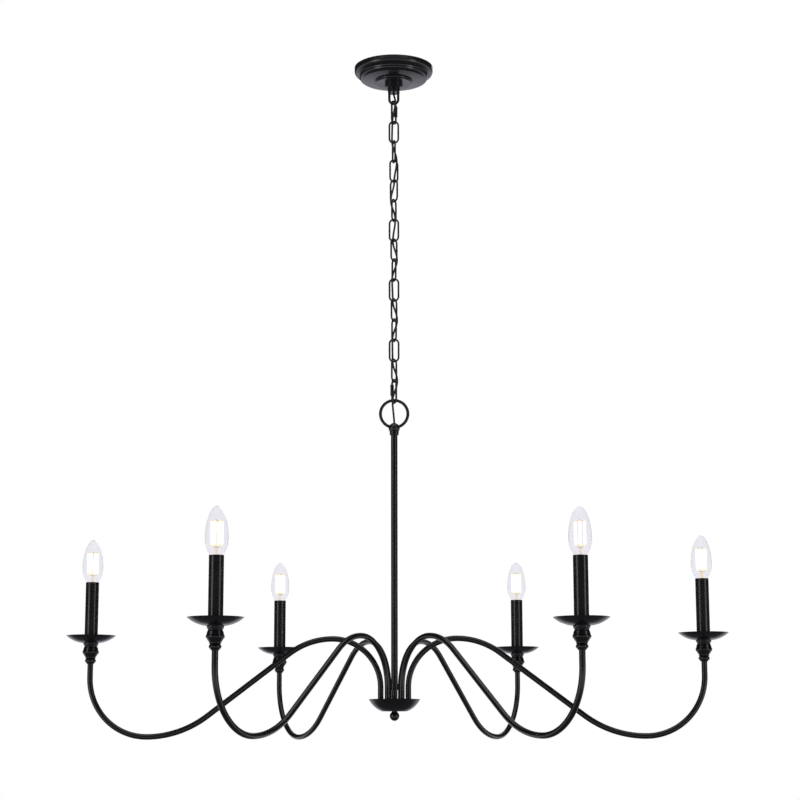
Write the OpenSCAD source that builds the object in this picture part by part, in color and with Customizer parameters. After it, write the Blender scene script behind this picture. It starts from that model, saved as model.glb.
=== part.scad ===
// Six-arm candle chandelier on a chain.
// Millimetres, +Z up. The origin is on the ceiling, on the axis of the junction box.

/* [Canopy] */
// Radius of the canopy at the ceiling
canopy_r = 69; // [64:0.5:75]
// Thickness of the pressed canopy
canopy_wall = 1.4; // [1:0.1:2]
// Radius of the hole in the canopy's centre
canopy_hole_r = 11.5; // [11.4:0.1:13]
// Radius of the knurled ring nut under the canopy
collar_r = 15.8; // [14:0.1:18]

/* [Crossbar] */
// Length of the crossbar under the junction box
bar_len = 114; // [108:1:120]
// Width of the crossbar
bar_w = 16; // [14:1:20]
// Thickness of the crossbar
bar_t = 2.5; // [2:0.1:3]
// Distance between the junction box's screws
box_spacing = 88.9; // [88.9:0.1:90]
// End-to-end length of each slot
slot_len = 16; // [12:1:18]
// Half the width of each slot
slot_r = 2.4; // [2.2:0.1:2.8]

/* [Chain] */
// Number of welded links between the two quick links
link_count = 13; // [13:1:13]
// Outside length of a link
link_len = 42.2; // [38:0.1:46]
// Outside width of a link
link_w = 18.7; // [17.5:0.1:21]
// Diameter of a link's wire
link_wire = 3.2; // [2.8:0.1:3.3]
// Turn from one link to the next, in the upper part of the chain
twist_upper = -74; // [-90:1:-65]
// Turn from one link to the next, in the lower part of the chain
twist_lower = 61.4; // [61:0.1:90]
// The link at which the chain's twist reverses
twist_link = 6; // [2:1:12]
// Outside length of a quick link
quick_len = 44; // [42:0.5:48]
// Outside width of a quick link
quick_w = 17.5; // [17:0.5:20]
// Diameter of a quick link's wire
quick_wire = 3.5; // [3:0.1:4]
// Free space between two pieces that hang in each other
hang_gap = 0.3; // [0.2:0.05:0.5]

/* [Supply cord] */
// Diameter of the supply cord
cord_d = 3.4; // [3:0.1:3.6]
// Distance of the cord from the chain's axis where it passes two crossed wires
cord_off = 5.4; // [5.2:0.1:5.8]

/* [Ring and stem] */
// Outside radius of the hanging ring
ring_outer_r = 26; // [22:0.5:30]
// Diameter of the ring's bar
ring_bar = 5.2; // [4.5:0.1:6]
// From the ring's centre down to the rim of the hub dish
stem_h = 481; // [400:1:600]
// Outside radius of the stem tube
stem_r = 5.6; // [5.2:0.1:6.2]
// Wall of the stem tube
stem_wall = 1.2; // [1:0.1:1.5]

/* [Hub] */
// Radius of the hub dish at its rim
dish_r = 42.7; // [40:0.1:46]
// Depth of the hub dish
dish_h = 20; // [18:0.5:22]
// Thickness of the dish
dish_wall = 1.6; // [1.2:0.1:2]
// Radius of the circle on which the arms stand
arm_root_r = 23; // [22:0.5:25]
// Radius of the ball under the dish
ball_r = 8; // [7:0.5:10]

/* [Arms] */
// Direction of each arm, anticlockwise from +X
arm_angles = [176.5, 240, 302, 357, 63, 115.5]; // [0:0.5:360]
// Outside diameter of an arm's tube
arm_d = 9.5; // [9:0.1:10]
// Wall of an arm's tube
arm_wall = 1; // [0.8:0.1:1.2]
// From the chandelier's axis to the candles' axes
candle_ring_r = 513; // [480:1:560]
// Height of an arm's arch above the dish's rim
arch_h = 100; // [90:1:110]
// Bend radius of the arch towards the hub
arch_in_r = 81; // [75:1:85]
// Bend radius of the arch away from the hub
arch_out_r = 120; // [105:1:135]
// Fall of the straight stretch between arch and bowl, in mm per mm
arm_fall = 0.75; // [0.73:0.01:0.8]
// Depth of an arm's lowest point below the dish's rim
bowl_h = 61; // [55:1:65]
// Bend radius of the bowl under the candle
bowl_out_r = 98; // [90:1:104]

/* [Candles] */
// Height of the drip pan's underside above the dish's rim
pan_h = 95; // [85:1:110]
// Radius of the drip pan
pan_r = 41.5; // [38:0.5:45]
// Depth of the drip pan
pan_depth = 12.6; // [11:0.1:15]
// Thickness of the drip pan
pan_wall = 1.4; // [1:0.1:2]
// Length of the turned cup under the pan
knop_h = 35; // [33:0.5:38]
// Outside radius of the candle sleeve
sleeve_r = 11; // [10.8:0.1:12]
// Wall of the candle sleeve
sleeve_wall = 0.9; // [0.8:0.1:1.2]
// Length of the candle sleeve
sleeve_h = 99.7; // [90:0.1:110]

/* [Bulb] */
// Largest radius of the bulb's glass
glass_r = 17.3; // [15:0.1:18]
// Height of the glass above the sleeve
glass_h = 72; // [65:1:80]
// Height of the glass's widest place above the sleeve
glass_belly = 27; // [24:1:30]
// Thickness of the glass
glass_wall = 0.9; // [0.7:0.1:1.2]
// Radius of the screw base
base_r = 5.95; // [5.7:0.05:6]

/* [Hidden] */
function numbered(name, count, digits) =
    [for (i = [1:count]) str(name, len(str(i)) < digits ? "0" : "", i)];
$fn = 48;
fit_gap = 0.05; // between two pieces that fit into each other

black_metal = [0.06, 0.06, 0.065];
cord_black = [0.04, 0.04, 0.04];
zinc = [0.7, 0.7, 0.68];
phenolic = [0.85, 0.82, 0.74];
clear_glass = [0.92, 0.92, 0.9, 0.4];

// Canopy, collar and loop
nipple_r = 5; // M10 threaded tube
nut_h = 5;
nut_r = 9.2; // over its corners
neck_r = 11;
neck_top_z = -16;
neck_bottom_z = -46;
neck_foot_r = 10.4;
neck_foot_h = 5;
collar_top_z = -29;
collar_h = 7.6;
loop_wire = 4.5;
loop_w = 20;
loop_bottom_z = -65.75; // centre of the wire at the loop's lowest point
wire_bore_r = 3.5;

// The hanging pieces, counted down from 0, the loop: 1 is a quick link, then come the
// welded links, the second quick link and last the ring.
ring_piece = link_count + 3;
quick_top_turn = 60;
quick_bottom_turn = 120;
ring_turn = 180;
ring_mid_r = ring_outer_r - ring_bar / 2;
function is_quick(k) = k == 1 || k == ring_piece - 1;
function wire_r(k) =
    k == 0 ? loop_wire / 2
    : k == ring_piece ? ring_bar / 2
    : (is_quick(k) ? quick_wire : link_wire) / 2;
function span(k) = is_quick(k) ? quick_len - quick_wire : link_len - link_wire;
function hang_top(k) = hang_bottom(k - 1) + wire_r(k - 1) + hang_gap + wire_r(k);
function hang_bottom(k) = k == 0 ? loop_bottom_z : hang_top(k) - span(k);
function link_turn(i) =
    i <= twist_link
        ? twist_upper * (i - 1)
        : twist_upper * (twist_link - 1) + twist_lower * (i - twist_link);
function turn_of(k) =
    k == 0 ? 0
    : k == 1 ? quick_top_turn
    : k == ring_piece - 1 ? quick_bottom_turn
    : k == ring_piece ? ring_turn
    : link_turn(k - 1);

// Ring, stem and hub
ring_z = hang_top(ring_piece) - ring_mid_r;
boss_r = 9.5;
boss_z = ring_z - ring_outer_r + 0.9;
neck_of_ring_r = 6.9;
bead_r = 7.8;
collar_bottom_z = boss_z - 11.5;
stem_top_z = collar_bottom_z + 6;
hub_z = ring_z - stem_h;
stem_bottom_z = hub_z + 15;
stud_r = 3.2;
plate_z = hub_z - 4.2;
plate_t = 3;
plate_r = dish_r - 6.1;
dish_bend_x = 6.8; // centre of the dish's round side, from the axis
dish_bend_z = 17.2; // and above the rim
dish_bend_r = 39.8;
dish_flat_r = dish_bend_x + sqrt(dish_bend_r ^ 2 - (dish_bend_z + dish_h) ^ 2);

// Arms: the straight stretch is tangent to the arch and to the bowl, so its slope sets the
// sum of their two bend radii
arch_x = arm_root_r + arch_in_r;
bowl_x = candle_ring_r - bowl_out_r;
arm_slope = atan(arm_fall);
bends_sum = ((bowl_x - arch_x) * arm_fall - arch_h - bowl_h) / (1 / cos(arm_slope) - 1);
bowl_in_r = bends_sum - arch_out_r;
fall_len = (bowl_x - arch_x - bends_sum * sin(arm_slope)) / cos(arm_slope);
arch_in_z = hub_z + arch_h - arch_in_r;
arch_out_z = hub_z + arch_h - arch_out_r;
bowl_in_z = hub_z - bowl_h + bowl_in_r;
bowl_out_z = hub_z - bowl_h + bowl_out_r;
arm_foot_z = hub_z - 12;
arm_r = arm_d / 2;
arm_top_z = hub_z + pan_h - 18;

// Candles
pan_z = hub_z + pan_h;
knop_z = pan_z - knop_h;
pan_flat_r = 9;
pan_bend_r = ((pan_r - pan_flat_r) ^ 2 + pan_depth ^ 2) / (2 * pan_depth);
pan_bend_angle = acos(1 - pan_depth / pan_bend_r);
pan_inner_angle = acos((pan_bend_r - pan_depth) / (pan_bend_r - pan_wall));
pan_boss_r = 13;
pan_boss_h = 2.3;
sleeve_z = pan_z + pan_boss_h;
sleeve_top_z = sleeve_z + sleeve_h;
socket_r = 9.3;
socket_bore_r = base_r + 0.25;
socket_top_z = sleeve_top_z - 9.5;
socket_h = 24;
socket_stem_r = 4.7;
glass_foot = 8; // depth of the glass's foot below the sleeve's top
glass_foot_r = 6.3;
base_h = 17;

// Arc from angle a0 to a1, as points (radius, height)
function arc(r, z, bend, a0, a1, steps) =
    [for (i = [0:steps]) let (a = a0 + (a1 - a0) * i / steps) [r + bend * cos(a), z + bend * sin(a)]];

// --- shapes that repeat ---

// A bent round bar in the XZ plane, around the origin
module bent_bar(bend_r, bar_r, from, sweep) {
    rotate([90, 0, 0])
        rotate_extrude(angle = sweep, start = from)
            translate([bend_r, 0])
                circle(bar_r);
}

// An oval link in the XZ plane, between two heights of its wire's centre
module oval_link(top_z, bottom_z, width, wire) {
    bend_r = (width - wire) / 2;
    leg_bottom = bottom_z + bend_r;
    translate([0, 0, top_z - bend_r])
        bent_bar(bend_r, wire / 2, 0, 180);
    translate([0, 0, leg_bottom])
        bent_bar(bend_r, wire / 2, 180, 180);
    for (side = [-1, 1])
        translate([side * bend_r, 0, leg_bottom])
            cylinder(r = wire / 2, h = top_z - bottom_z - 2 * bend_r);
}

// A chain's threaded quick link: an oval with a sleeve nut on one leg
module quick_link(k, nut_side) {
    nut_r = 3;
    nut_len = 18;
    leg_x = nut_side * (quick_w - quick_wire) / 2;
    nut_z = (hang_top(k) + hang_bottom(k)) / 2 - nut_len / 2 + 3;
    color(black_metal) rotate([0, 0, turn_of(k)]) {
        oval_link(hang_top(k), hang_bottom(k), quick_w, quick_wire);
        translate([leg_x, 0, nut_z])
            difference() {
                cylinder(r = nut_r, h = nut_len);
                translate([0, 0, -1])
                    cylinder(r = quick_wire / 2 + fit_gap, h = nut_len + 2);
            }
    }
}

// Places a candle's piece over the end of arm n
module at_candle(n, z) {
    rotate([0, 0, arm_angles[n - 1]])
        translate([candle_ring_r, 0, z])
            children();
}

// --- ceiling pieces ---

module bar_slot() {
    reach = slot_len / 2 - slot_r;
    for (end = [-1, 1])
        translate([end * reach, 0, -bar_t - 1])
            cylinder(r = slot_r, h = bar_t + 2);
    translate([-reach, -slot_r, -bar_t - 1])
        cube([2 * reach, 2 * slot_r, bar_t + 2]);
}

module crossbar() {
    color(zinc) {
        difference() {
            union() {
                translate([-bar_len / 2 + bar_w / 2, -bar_w / 2, -bar_t])
                    cube([bar_len - bar_w, bar_w, bar_t]);
                for (end = [-1, 1])
                    translate([end * (bar_len - bar_w) / 2, 0, -bar_t])
                        cylinder(r = bar_w / 2, h = bar_t);
            }
            for (side = [-1, 1])
                translate([side * box_spacing / 2, 0, 0])
                    bar_slot();
            translate([0, 0, -bar_t - 1])
                cylinder(r = nipple_r + fit_gap, h = bar_t + 2);
        }
        translate([0, 0, -bar_t - nut_h - fit_gap])
            difference() {
                cylinder(r = nut_r, h = nut_h, $fn = 6);
                translate([0, 0, -1])
                    cylinder(r = nipple_r + fit_gap, h = nut_h + 2);
            }
    }
}

// Outline of the canopy's outside, from the ceiling to the centre: a rounded band, a
// round-shouldered tray and a low boss
function canopy_outline(inset) = concat(
    [[canopy_r - inset, 0]],
    arc(canopy_r - 8, -6, 8 - inset, 0, -78, 8),
    [[canopy_r - 8.6 - inset, -13.8 + inset], [canopy_r - 9.2 - inset, -15.4 + inset]],
    arc(canopy_r - 16, -16, 7.2 - inset, -4, -76, 7),
    [[46, -23.9 + inset], [34.2, -24.9 + inset]],
    arc(31.4, -26, 2.4, 20, -80, 4)
);

module canopy() {
    boss_z = -28.8;
    color(black_metal)
        rotate_extrude($fn = 96)
            difference() {
                polygon(concat(
                    canopy_outline(0),
                    [[31, boss_z], [canopy_hole_r, boss_z], [canopy_hole_r, 0]]
                ));
                polygon([for (p = concat(
                    [[canopy_r, 1]],
                    canopy_outline(0),
                    [[30.8, boss_z], [canopy_hole_r - 1, boss_z], [canopy_hole_r - 1, 1]]
                )) [p[0] - (p[0] > 30 ? canopy_wall : 0), p[1] + (p[1] < 0 ? canopy_wall : 0)]]);
            }
}

module collar_nut() {
    groove_count = 36;
    bottom_z = collar_top_z - collar_h;
    color(black_metal)
        difference() {
            union() {
                translate([0, 0, bottom_z + 1.4])
                    cylinder(r = collar_r, h = collar_h - 1.4);
                translate([0, 0, bottom_z])
                    cylinder(r1 = collar_r - 1.8, r2 = collar_r, h = 1.4);
            }
            translate([0, 0, bottom_z - 1])
                cylinder(r = neck_r + fit_gap, h = collar_h + 2);
            for (i = [1:groove_count])
                rotate([0, 0, i * 360 / groove_count])
                    translate([collar_r + 0.25, 0, bottom_z + 1.9])
                        cylinder(r = 0.6, h = collar_h, $fn = 4);
        }
}

module canopy_loop() {
    bend_r = (loop_w - loop_wire) / 2;
    bend_z = loop_bottom_z + bend_r;
    color(black_metal)
        difference() {
            union() {
                translate([0, 0, neck_top_z])
                    cylinder(r = nipple_r, h = -neck_top_z);
                translate([0, 0, neck_bottom_z + neck_foot_h])
                    cylinder(r = neck_r, h = neck_top_z - neck_bottom_z - neck_foot_h);
                translate([0, 0, neck_bottom_z])
                    cylinder(r = neck_foot_r, h = neck_foot_h);
                translate([0, 0, bend_z])
                    bent_bar(bend_r, loop_wire / 2, 180, 180);
                for (side = [-1, 1])
                    translate([side * bend_r, 0, bend_z])
                        cylinder(r = loop_wire / 2, h = neck_bottom_z - bend_z + 2);
            }
            translate([0, 0, neck_bottom_z - 1])
                cylinder(r = wire_bore_r, h = 2 - neck_bottom_z);
        }
}

// --- chain ---

module chain_link(i) {
    k = i + 1;
    color(black_metal)
        rotate([0, 0, turn_of(k)])
            oval_link(hang_top(k), hang_bottom(k), link_w, link_wire);
}

// --- supply cord ---
// The cord comes down the loop's bore, passes beside each pair of crossed wires and goes
// through every link, then enters the ring's boss and ends inside the stem.

function crossing_z(k) = (hang_bottom(k) + wire_r(k) + hang_top(k + 1) - wire_r(k + 1)) / 2;
function crossing(k) =
    let (a = (turn_of(k) + turn_of(k + 1)) / 2 + 90, side = k % 2 == 1 ? 1 : -1)
    [side * cord_off * cos(a), side * cord_off * sin(a), crossing_z(k)];
function eased(p, q, t) =
    let (s = (1 - cos(180 * t)) / 2)
    [p[0] + (q[0] - p[0]) * s, p[1] + (q[1] - p[1]) * s, p[2] + (q[2] - p[2]) * t];

cord_stations = concat(
    [[0, 0, -3], [0, 0, neck_bottom_z - 1]],
    [for (k = [0:ring_piece - 1]) crossing(k)],
    [[0, 0, boss_z + boss_r - 1], [0, 0, collar_bottom_z - 18]]
);
cord_steps = 4;
cord_last = len(cord_stations) - 1;
cord_route = concat(
    [for (j = [0:cord_last - 1]) for (i = [0:cord_steps - 1])
        eased(cord_stations[j], cord_stations[j + 1], i / cord_steps)],
    [cord_stations[cord_last]]
);

function unit(v) = v / norm(v);
function direction(path, i) =
    unit(path[min(i + 1, len(path) - 1)] - path[max(i - 1, 0)]);

// A closed tube of flat-sided rings along a path that never runs level
module swept_tube(path, r, sides) {
    last = len(path) - 1;
    rings = [for (i = [0:last])
        let (
            along = direction(path, i),
            across = unit(cross([0, 1, 0], along)),
            up = cross(along, across)
        )
        for (s = [0:sides - 1])
            path[i] + r * (cos(s * 360 / sides) * across + sin(s * 360 / sides) * up)];
    sheath = [for (i = [0:last - 1]) for (s = [0:sides - 1])
        let (t = (s + 1) % sides)
        [i * sides + s, i * sides + t, (i + 1) * sides + t, (i + 1) * sides + s]];
    ends = [[for (s = [sides - 1:-1:0]) s], [for (s = [0:sides - 1]) last * sides + s]];
    polyhedron(points = rings, faces = concat(sheath, ends));
}

module supply_cord() {
    color(cord_black)
        swept_tube(cord_route, cord_d / 2, 8);
}

// --- ring, stem and hub ---

module top_ring() {
    color(black_metal)
        difference() {
            union() {
                translate([0, 0, ring_z])
                    bent_bar(ring_mid_r, ring_bar / 2, 0, 360);
                translate([0, 0, boss_z])
                    sphere(boss_r);
                translate([0, 0, collar_bottom_z])
                    cylinder(r = neck_of_ring_r, h = 8);
                translate([0, 0, collar_bottom_z + 3])
                    cylinder(r = bead_r, h = 4.2);
                translate([0, 0, collar_bottom_z])
                    cylinder(r = bead_r, h = 1.9);
            }
            translate([0, 0, collar_bottom_z - 1])
                cylinder(r = stem_r + fit_gap, h = stem_top_z - collar_bottom_z + 1);
            translate([0, 0, collar_bottom_z])
                cylinder(r = cord_d / 2 + 0.6, h = boss_z + boss_r - collar_bottom_z + 1);
        }
}

module stem_tube() {
    lock_r = 6.9;
    lock_h = 10;
    nipple_bottom_z = hub_z - 12;
    stud_bottom_z = hub_z - dish_h - 7;
    color(black_metal) {
        difference() {
            union() {
                translate([0, 0, stem_bottom_z])
                    cylinder(r = stem_r, h = stem_top_z - stem_bottom_z);
                translate([0, 0, nipple_bottom_z])
                    cylinder(r = nipple_r, h = stem_bottom_z - nipple_bottom_z);
                translate([0, 0, stud_bottom_z])
                    cylinder(r = stud_r, h = nipple_bottom_z - stud_bottom_z);
            }
            translate([0, 0, stem_bottom_z])
                cylinder(r = stem_r - stem_wall, h = stem_top_z - stem_bottom_z + 1);
            translate([0, 0, nipple_bottom_z + 3])
                cylinder(r = wire_bore_r, h = stem_bottom_z - nipple_bottom_z);
        }
        translate([0, 0, stem_bottom_z])
            difference() {
                cylinder(r = lock_r, h = lock_h);
                translate([0, 0, -1])
                    cylinder(r = stem_r + fit_gap, h = lock_h + 2);
            }
    }
}

// Half section of the dish's outside, from below the rim's edge to its flat bottom
function dish_outline(inset) =
    arc(dish_bend_x, dish_bend_z, dish_bend_r - inset, -25.6, -67.5, 12);

module hub_dish() {
    lip_h = 1.4;
    inner_z = -dish_h + dish_wall;
    color(black_metal) {
        translate([0, 0, hub_z])
            rotate_extrude($fn = 96)
                difference() {
                    polygon(concat(
                        [[0, 0], [dish_r, 0]],
                        [for (p = dish_outline(0)) if (p[1] > -dish_h) p],
                        [[dish_flat_r, -dish_h], [0, -dish_h]]
                    ));
                    polygon(concat(
                        [[0, 1], [dish_r - dish_wall, 1], [dish_r - dish_wall - 0.6, -lip_h]],
                        [for (p = dish_outline(dish_wall)) if (p[1] < -lip_h && p[1] > inner_z) p],
                        [[dish_flat_r - 1, inner_z], [0, inner_z]]
                    ));
                    translate([-1, -dish_h - 1])
                        square([stud_r + fit_gap + 1, dish_h]);
                }
        difference() {
            translate([0, 0, plate_z])
                cylinder(r = plate_r, h = plate_t);
            translate([0, 0, plate_z - 1])
                cylinder(r = nipple_r + fit_gap, h = plate_t + 2);
            for (a = arm_angles)
                rotate([0, 0, a])
                    translate([arm_root_r, 0, plate_z - 1])
                        cylinder(r = arm_r + 0.08, h = plate_t + 2);
        }
    }
}

module ball_finial() {
    top_z = hub_z - dish_h;
    ball_z = top_z - ball_r + 0.3;
    color(black_metal)
        difference() {
            union() {
                translate([0, 0, ball_z])
                    sphere(ball_r);
                translate([0, 0, top_z - 2])
                    cylinder(r = 4.6, h = 1.9);
            }
            translate([0, 0, ball_z + ball_r - 0.4])
                cylinder(r = ball_r, h = 2);
            translate([0, 0, top_z - 8])
                cylinder(r = stud_r + fit_gap, h = 9);
        }
}

// --- arms ---

// A bar's bend from level, at its top, down to the arms' slope, around the origin
module slope_bend(bend_r, bar_r) {
    reach = bend_r + bar_r + 1;
    intersection() {
        bent_bar(bend_r, bar_r, 0, 90);
        rotate([0, arm_slope, 0])
            translate([-reach, -reach, 0])
                cube([reach, 2 * reach, reach]);
    }
}

// The run of an arm's tube in its own plane; both ends go on past the tube by extra
module arm_run(r, extra) {
    translate([arm_root_r, 0, arm_foot_z - extra])
        cylinder(r = r, h = arch_in_z - arm_foot_z + extra);
    translate([arch_x, 0, arch_in_z])
        bent_bar(arch_in_r, r, 90, 90);
    translate([arch_x, 0, arch_out_z])
        slope_bend(arch_out_r, r);
    translate([arch_x + arch_out_r * sin(arm_slope), 0, arch_out_z + arch_out_r * cos(arm_slope)])
        rotate([0, 90 + arm_slope, 0])
            cylinder(r = r, h = fall_len);
    translate([bowl_x, 0, bowl_in_z])
        rotate([0, 180, 0])
            slope_bend(bowl_in_r, r);
    translate([bowl_x, 0, bowl_out_z])
        bent_bar(bowl_out_r, r, 270, 90);
    translate([candle_ring_r, 0, bowl_out_z])
        cylinder(r = r, h = arm_top_z - bowl_out_z + extra);
}

module arm_tube(n) {
    foot_nut_r = 7;
    foot_nut_h = 3.6;
    color(black_metal)
        rotate([0, 0, arm_angles[n - 1]]) {
            difference() {
                arm_run(arm_r, 0);
                arm_run(arm_r - arm_wall, 1);
            }
            translate([arm_root_r, 0, plate_z - 0.3 - foot_nut_h])
                difference() {
                    cylinder(r = foot_nut_r, h = foot_nut_h);
                    translate([0, 0, -1])
                        cylinder(r = arm_r + fit_gap, h = foot_nut_h + 2);
                }
        }
}

// Turned cup: a collar under the pan, a round bulge between two waists and a bead
module arm_cup(n) {
    color(black_metal)
        at_candle(n, knop_z)
            difference() {
                rotate_extrude() {
                    polygon(concat(
                        [[0, 0], [6, 0]],
                        arc(5.2, 5.4, 4, -68, 60, 8),
                        arc(9.9, 10.6, 1.5, 230, 130, 4),
                        arc(9.7, 19.8, 4, -50, 40, 8),
                        arc(13.1, 29.2, 2.4, 235, 125, 5),
                        [[12.7, knop_h - 1], [12.7, knop_h], [0, knop_h]]
                    ));
                }
                translate([0, 0, -1])
                    cylinder(r = arm_r + fit_gap, h = knop_h - 17);
                translate([0, 0, knop_h - 12])
                    cylinder(r = socket_stem_r + fit_gap, h = 13);
                translate([0, 0, knop_h - 19])
                    cylinder(r = 3, h = 8);
            }
}

// Shallow dish, flat in its middle, with a low boss which the sleeve stands on
module drip_pan(n) {
    color(black_metal)
        at_candle(n, pan_z)
            difference() {
                union() {
                    rotate_extrude($fn = 96)
                        polygon(concat(
                            [[0, 0]],
                            arc(pan_flat_r, pan_bend_r, pan_bend_r, -90, pan_bend_angle - 90, 12),
                            arc(pan_flat_r, pan_bend_r, pan_bend_r - pan_wall, pan_inner_angle - 90, -90, 12),
                            [[0, pan_wall]]
                        ));
                    cylinder(r = pan_boss_r, h = pan_boss_h);
                }
                translate([0, 0, -1])
                    cylinder(r = socket_stem_r + fit_gap, h = pan_boss_h + 2);
            }
}

module lamp_socket(n) {
    stem_bottom = pan_z - 12;
    cup_z = socket_top_z - socket_h;
    color(phenolic)
        at_candle(n, 0)
            difference() {
                union() {
                    translate([0, 0, stem_bottom])
                        cylinder(r = socket_stem_r, h = cup_z - stem_bottom);
                    translate([0, 0, cup_z])
                        cylinder(r = socket_r, h = socket_h);
                }
                translate([0, 0, cup_z + 3])
                    cylinder(r = socket_bore_r, h = socket_h);
                translate([0, 0, stem_bottom - 1])
                    cylinder(r = 2.6, h = cup_z - stem_bottom + 6);
            }
}

module candle_sleeve(n) {
    color(black_metal)
        at_candle(n, sleeve_z)
            difference() {
                cylinder(r = sleeve_r, h = sleeve_h);
                translate([0, 0, -1])
                    cylinder(r = sleeve_r - sleeve_wall, h = sleeve_h + 2);
            }
}

// Radius of the torpedo-shaped glass at height z above the sleeve's top
function glass_at(z) =
    z < 0 ? glass_foot_r + (glass_r * 0.56 - glass_foot_r) * (z + glass_foot) / glass_foot
    : z < glass_belly ? glass_r * (1 - 0.44 * ((glass_belly - z) / glass_belly) ^ 2.2)
    : glass_r * (1 - ((z - glass_belly) / (glass_h - glass_belly)) ^ 1.6) ^ 0.47;
glass_heights = concat(
    [-glass_foot],
    [for (i = [0:8]) glass_belly * i / 8],
    [for (i = [1:13]) glass_belly + (glass_h - glass_belly) * sin(90 * i / 14)],
    [glass_h]
);

module bulb(n) {
    base_z = -glass_foot - base_h;
    stem_r = 2.2;
    color(clear_glass)
        at_candle(n, sleeve_top_z) {
            rotate_extrude()
                difference() {
                    polygon(concat(
                        [[0, -glass_foot]],
                        [for (z = glass_heights) [glass_at(z), z]]
                    ));
                    polygon(concat(
                        [[0, -glass_foot - 1], [glass_foot_r - glass_wall, -glass_foot - 1]],
                        [for (z = glass_heights) if (z < glass_h)
                            [max(glass_at(z) - glass_wall, 0.1), z - (z > 0.8 * glass_h ? glass_wall : 0)]],
                        [[0, glass_h - glass_wall * 2]]
                    ));
                }
            translate([0, 0, base_z])
                cylinder(r = base_r, h = base_h);
            translate([0, 0, base_z - 2])
                cylinder(r1 = 2, r2 = 4, h = 2);
            translate([0, 0, -glass_foot])
                cylinder(r = stem_r, h = 26);
        }
}

crossbar();
canopy();
collar_nut();
canopy_loop();
quick_link(1, 1);  // quick_link_top
chain_link(1);  // chain_link_01
chain_link(2);  // chain_link_02
chain_link(3);  // chain_link_03
chain_link(4);  // chain_link_04
chain_link(5);  // chain_link_05
chain_link(6);  // chain_link_06
chain_link(7);  // chain_link_07
chain_link(8);  // chain_link_08
chain_link(9);  // chain_link_09
chain_link(10);  // chain_link_10
chain_link(11);  // chain_link_11
chain_link(12);  // chain_link_12
chain_link(13);  // chain_link_13
quick_link(ring_piece - 1, 1);  // quick_link_bottom
supply_cord();
top_ring();
stem_tube();
hub_dish();
ball_finial();
arm_tube(1);  // arm_tube_1
arm_tube(2);  // arm_tube_2
arm_tube(3);  // arm_tube_3
arm_tube(4);  // arm_tube_4
arm_tube(5);  // arm_tube_5
arm_tube(6);  // arm_tube_6
arm_cup(1);  // arm_cup_1
arm_cup(2);  // arm_cup_2
arm_cup(3);  // arm_cup_3
arm_cup(4);  // arm_cup_4
arm_cup(5);  // arm_cup_5
arm_cup(6);  // arm_cup_6
drip_pan(1);  // drip_pan_1
drip_pan(2);  // drip_pan_2
drip_pan(3);  // drip_pan_3
drip_pan(4);  // drip_pan_4
drip_pan(5);  // drip_pan_5
drip_pan(6);  // drip_pan_6
lamp_socket(1);  // lamp_socket_1
lamp_socket(2);  // lamp_socket_2
lamp_socket(3);  // lamp_socket_3
lamp_socket(4);  // lamp_socket_4
lamp_socket(5);  // lamp_socket_5
lamp_socket(6);  // lamp_socket_6
candle_sleeve(1);  // candle_sleeve_1
candle_sleeve(2);  // candle_sleeve_2
candle_sleeve(3);  // candle_sleeve_3
candle_sleeve(4);  // candle_sleeve_4
candle_sleeve(5);  // candle_sleeve_5
candle_sleeve(6);  // candle_sleeve_6
bulb(1);  // bulb_1
bulb(2);  // bulb_2
bulb(3);  // bulb_3
bulb(4);  // bulb_4
bulb(5);  // bulb_5
bulb(6);  // bulb_6
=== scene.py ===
import math
import random

import bmesh
import bpy
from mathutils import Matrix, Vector


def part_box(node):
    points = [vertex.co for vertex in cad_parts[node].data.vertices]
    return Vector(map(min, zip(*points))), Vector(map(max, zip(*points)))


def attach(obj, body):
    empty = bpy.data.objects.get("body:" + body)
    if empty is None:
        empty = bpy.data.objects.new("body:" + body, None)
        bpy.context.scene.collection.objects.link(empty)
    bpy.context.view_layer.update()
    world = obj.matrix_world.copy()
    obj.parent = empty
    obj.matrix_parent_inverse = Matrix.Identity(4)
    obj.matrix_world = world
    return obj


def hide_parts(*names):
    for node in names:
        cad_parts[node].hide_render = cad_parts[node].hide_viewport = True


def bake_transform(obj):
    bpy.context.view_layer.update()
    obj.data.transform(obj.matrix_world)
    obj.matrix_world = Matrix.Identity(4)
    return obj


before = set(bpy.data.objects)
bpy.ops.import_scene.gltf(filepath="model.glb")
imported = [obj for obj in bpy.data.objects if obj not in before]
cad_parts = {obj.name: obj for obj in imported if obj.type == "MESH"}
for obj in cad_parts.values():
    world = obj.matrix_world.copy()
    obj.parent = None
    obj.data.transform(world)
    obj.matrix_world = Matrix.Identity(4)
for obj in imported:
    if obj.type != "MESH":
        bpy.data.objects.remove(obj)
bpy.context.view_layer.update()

MM = 0.001
ARMS = range(1, 7)
random.seed(7)


# ---------------------------------------------------------------- camera, floor and light

# the camera that was fitted to the photograph
CAMERA_AT = (0.009, -3.188, -1.169)
CAMERA_UP = 10.21  # degrees above the horizon
CAMERA_ROLL = 0.1  # degrees
LENS, SENSOR_W = 85.3, 36  # mm


def make_camera():
    data = bpy.data.cameras.new("camera")
    data.lens = LENS
    data.sensor_width = SENSOR_W
    camera = bpy.data.objects.new("camera", data)
    camera.location = CAMERA_AT
    camera.rotation_euler = (math.radians(90 + CAMERA_UP), math.radians(CAMERA_ROLL), 0)
    bpy.context.scene.collection.objects.link(camera)
    bpy.context.scene.camera = camera


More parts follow.
